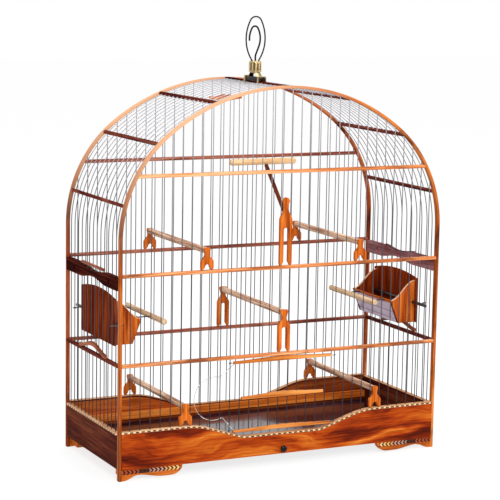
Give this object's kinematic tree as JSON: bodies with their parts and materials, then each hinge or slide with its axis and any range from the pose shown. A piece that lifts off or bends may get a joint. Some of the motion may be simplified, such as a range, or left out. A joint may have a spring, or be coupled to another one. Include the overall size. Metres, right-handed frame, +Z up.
{
  "type": "bird cage",
  "caption": "Arched wooden wire bird cage on bracket feet with a pull-out tray, hinged front door, lifting side gates, perches, feeders and a swivelling hook.",
  "frame": {"origin": "on the floor under the middle of the cage", "axes": "+Z up, front door and tray pull face -Y, +X to the right seen from the front"},
  "size_m": [0.5708, 0.2464, 0.711],
  "materials": {
    "hoop_wood": "varnished bent wood, orange brown with darker patches",
    "front_veneer": "glossy figured veneer, orange with dark diagonal streaks",
    "panel_wood": "varnished, orange brown",
    "side_wood": "varnished, dark brown",
    "edging": "inlaid strip of cream and black wood, satin varnish",
    "foot_wood": "varnished, orange brown",
    "pale_wood": "varnished, light orange",
    "rail_wood": "varnished, mid orange brown",
    "dark_wood": "varnished, dark wine brown",
    "wire": "dull drawn steel wire",
    "ebony": "polished near black",
    "brass": "polished with light tarnish",
    "tray_lacquer": "glossy dark purple brown paint",
    "slat_wood": "varnished, light orange",
    "spring_steel": "bright drawn wire",
    "dowel": "bare pale beige wood",
    "fork_wood": "varnished, strong orange",
    "feeder_wood": "varnished, red brown",
    "clear_sheet": "clear sheet with a faint lavender tint",
    "dark_rod": "near black lacquered rod with wire clips",
    "hook_wire": "darkened wire, satin"
  },
  "bodies": {
    "cage": {"front_hoop": "hoop_wood", "back_hoop": "hoop_wood", "front_panel": "front_veneer", "back_panel": "panel_wood", "left_panel": "side_wood", "right_panel": "side_wood", "panel_edging": "edging", "corner_feet": "foot_wood", "foot_inlay": "edging", "tray_runners": "pale_wood", "back_ledge": "pale_wood", "front_rails": "rail_wood", "back_rails": "rail_wood", "side_rails": "rail_wood", "left_waist_plate": "dark_wood", "right_waist_plate": "dark_wood", "roof_cross_rails": "dark_wood", "ridge_bar": "dark_wood", "front_wires": "wire", "back_wires": "wire", "left_side_wires": "wire", "right_side_wires": "wire", "roof_wires": "wire", "back_plaque": "pale_wood", "hook_saddle": "ebony", "hook_straps": "brass"},
    "tray": {"tray_board": "tray_lacquer", "tray_front": "front_veneer", "tray_knob": "ebony"},
    "front_door": {"door_slats": "slat_wood", "door_wires": "wire", "door_eyes": "wire", "door_spring": "spring_steel"},
    "left_gate": {"left_gate_slats": "slat_wood", "left_gate_wires": "wire"},
    "right_gate": {"right_gate_slats": "slat_wood", "right_gate_wires": "wire"},
    "upper_left_perch": {"upper_left_dowel": "dowel", "upper_left_forks": "fork_wood"},
    "upper_right_perch": {"upper_right_dowel": "dowel", "upper_right_forks": "fork_wood"},
    "middle_perch": {"middle_dowel": "dowel", "middle_forks": "fork_wood"},
    "lower_left_perch": {"lower_left_dowel": "dowel", "lower_left_forks": "fork_wood"},
    "lower_right_perch": {"lower_right_dowel": "dowel", "lower_right_forks": "fork_wood"},
    "tee_perch": {"tee_fork": "fork_wood", "tee_arm": "dark_wood", "tee_bar": "slat_wood"},
    "left_feeder": {"left_feeder_boards": "feeder_wood", "left_feeder_front": "clear_sheet", "left_feeder_hanger": "dark_rod", "left_feeder_stick": "dowel"},
    "right_feeder": {"right_feeder_boards": "feeder_wood", "right_feeder_front": "clear_sheet", "right_feeder_hanger": "dark_rod", "right_feeder_stick": "dowel"},
    "hook": {"hook_collar": "brass", "hook_wires": "hook_wire"}
  },
  "joints": [
    {"name": "tray_slide", "type": "slide", "parent": "cage", "child": "tray", "axis": [0, -1, 0], "range_m": [0, 0.2]},
    {"name": "front_door_hinge", "type": "hinge", "parent": "cage", "child": "front_door", "pos_m": [-0.09333, -0.11435, 0.1], "axis": [0, 0, -1], "range_deg": [0, 100], "stiffness_Nm_per_rad": 0.02},
    {"name": "left_gate_slide", "type": "slide", "parent": "cage", "child": "left_gate", "axis": [0, 0, 1], "range_m": [0, 0.095]},
    {"name": "right_gate_slide", "type": "slide", "parent": "cage", "child": "right_gate", "axis": [0, 0, 1], "range_m": [0, 0.095]},
    {"name": "upper_left_perch_lift", "type": "slide", "parent": "cage", "child": "upper_left_perch", "axis": [0, 0, 1], "range_m": [0, 0.1]},
    {"name": "upper_right_perch_lift", "type": "slide", "parent": "cage", "child": "upper_right_perch", "axis": [0, 0, 1], "range_m": [0, 0.1]},
    {"name": "middle_perch_lift", "type": "slide", "parent": "cage", "child": "middle_perch", "axis": [0, 0, 1], "range_m": [0, 0.06]},
    {"name": "lower_left_perch_lift", "type": "slide", "parent": "cage", "child": "lower_left_perch", "axis": [0, 0, 1], "range_m": [0, 0.05]},
    {"name": "lower_right_perch_lift", "type": "slide", "parent": "cage", "child": "lower_right_perch", "axis": [0, 0, 1], "range_m": [0, 0.05]},
    {"name": "tee_perch_lift", "type": "slide", "parent": "cage", "child": "tee_perch", "axis": [0, 0, 1], "range_m": [0, 0.03]},
    {"name": "left_feeder_lift", "type": "slide", "parent": "cage", "child": "left_feeder", "axis": [0, 0, 1], "range_m": [0, 0.04]},
    {"name": "right_feeder_lift", "type": "slide", "parent": "cage", "child": "right_feeder", "axis": [0, 0, 1], "range_m": [0, 0.04]},
    {"name": "hook_swivel", "type": "hinge", "parent": "cage", "child": "hook", "pos_m": [0, 0.0049, 0.63], "axis": [0, 0, 1], "continuous": true}
  ]
}
